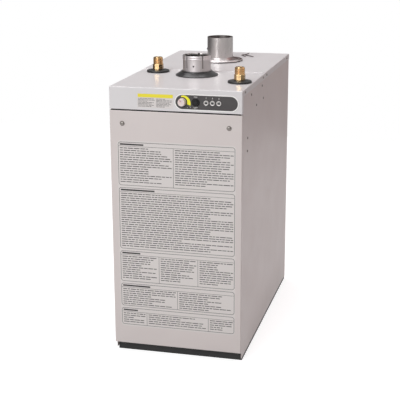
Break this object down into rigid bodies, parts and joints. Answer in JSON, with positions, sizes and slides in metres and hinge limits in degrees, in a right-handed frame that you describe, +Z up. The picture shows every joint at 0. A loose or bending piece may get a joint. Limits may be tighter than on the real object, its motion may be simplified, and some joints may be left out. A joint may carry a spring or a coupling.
{
  "type": "oil-fired water heater",
  "caption": "Floor-standing oil-fired water heater: tall narrow cabinet with a control strip, intake and flue stubs, water nipples on top, gun burner and fire-tube boiler inside.",
  "frame": {"origin": "on the floor, under the middle of the cabinet's width and depth", "axes": "+X to the right seen from the front, +Y from the control strip towards the back, +Z up"},
  "size_m": [0.3536, 0.7246, 0.805],
  "materials": {
    "cabinet_paint": "satin powder coat, warm light grey",
    "cover_paint": "satin powder coat, light grey",
    "base_black": "semi-matt black enamel",
    "zinc_steel": "galvanised",
    "screw_steel": "zinc plated",
    "stainless": "bright rolled stainless",
    "strip_grey": "matt printed foil on plate",
    "knob_cream": "semi-gloss moulded",
    "black_plastic": "fine-textured moulded",
    "lamp_chrome": "polished",
    "lamp_lens": "smoked lens",
    "board_green": "solder-masked laminate",
    "rubber_black": "matt moulded rubber",
    "brass": "machined",
    "copper": "drawn copper tube",
    "gasket_grey": "pressed fibre sheet",
    "boiler_steel": "heat-resistant dark grey paint",
    "insulation_fibre": "glass-fibre blanket",
    "burner_alloy": "die-cast, blasted",
    "motor_paint": "stove enamel",
    "porcelain": "glazed electrode porcelain",
    "resin_block": "potted resin block"
  },
  "bodies": {
    "cabinet": {"base_pan": "base_black", "left_side_panel": "cabinet_paint", "right_side_panel": "cabinet_paint", "front_panel": "cabinet_paint", "back_panel": "cabinet_paint", "front_top_cover": "cover_paint", "rear_top_cover": "cover_paint", "front_cross_rail": "zinc_steel", "front_panel_screws": "screw_steel", "cabinet_screws": "screw_steel", "control_escutcheon": "strip_grey", "temperature_potentiometer": "black_plastic", "power_switch": "black_plastic", "lamp_bezels": "lamp_chrome", "lamp_lenses": "lamp_lens", "control_board": "board_green", "cold_water_nipple": "brass", "hot_water_nipple": "brass", "cold_water_grommet": "rubber_black", "hot_water_grommet": "rubber_black", "intake_pipe": "stainless", "intake_boot": "rubber_black", "exhaust_pipe": "stainless", "exhaust_gasket": "gasket_grey", "exhaust_flange": "stainless", "flue_clip": "base_black", "boiler_shell": "boiler_steel", "combustion_chamber": "stainless", "fire_tube_bundle": "stainless", "smoke_hood": "stainless", "boiler_insulation": "insulation_fibre", "boiler_stand": "boiler_steel", "overheat_limiter": "black_plastic", "burner_mounting_plate": "zinc_steel", "burner_tube": "stainless", "nozzle_line": "brass", "flame_diffuser": "stainless", "ignition_electrodes": "porcelain", "ignition_transformer": "resin_block", "flame_sensor": "black_plastic", "blower_housing": "burner_alloy", "blower_motor": "motor_paint", "air_inlet_box": "black_plastic", "intake_duct": "zinc_steel", "fuel_inlet_fitting": "brass", "fuel_strainer": "burner_alloy", "fuel_pump": "motor_paint", "fuel_lines": "copper", "cold_water_pipes": "copper", "hot_water_pipe": "copper", "flow_sensor_body": "black_plastic", "drain_valve_body": "brass", "main_control_box": "black_plastic", "cord_gland": "black_plastic"},
    "temperature_control": {"temperature_knob": "knob_cream", "knob_shaft": "brass"},
    "push_button": {"power_button": "black_plastic"},
    "blower_wheel": {"blower_impeller": "zinc_steel"},
    "flow_wheel": {"flow_turbine": "knob_cream"},
    "drain_lever": {"drain_valve_handle": "zinc_steel"}
  },
  "joints": [
    {"name": "temperature_turn", "type": "hinge", "parent": "cabinet", "child": "temperature_control", "pos_m": [0.02, -0.3476, 0.701], "axis": [0, 1, 0], "range_deg": [0, 150]},
    {"name": "power_press", "type": "slide", "parent": "cabinet", "child": "push_button", "axis": [0, 1, 0], "range_m": [0, 0.0025], "stiffness_N_per_m": 400, "springref_m": -0.001},
    {"name": "blower_spin", "type": "hinge", "parent": "cabinet", "child": "blower_wheel", "pos_m": [0, -0.155, 0.152], "axis": [1, 0, 0], "continuous": true},
    {"name": "turbine_spin", "type": "hinge", "parent": "cabinet", "child": "flow_wheel", "pos_m": [0.14, -0.218, 0.445], "axis": [0, 0, 1], "continuous": true},
    {"name": "drain_turn", "type": "hinge", "parent": "cabinet", "child": "drain_lever", "pos_m": [-0.10943, -0.029, 0.1], "axis": [0, 0, -1], "range_deg": [0, 90]}
  ]
}
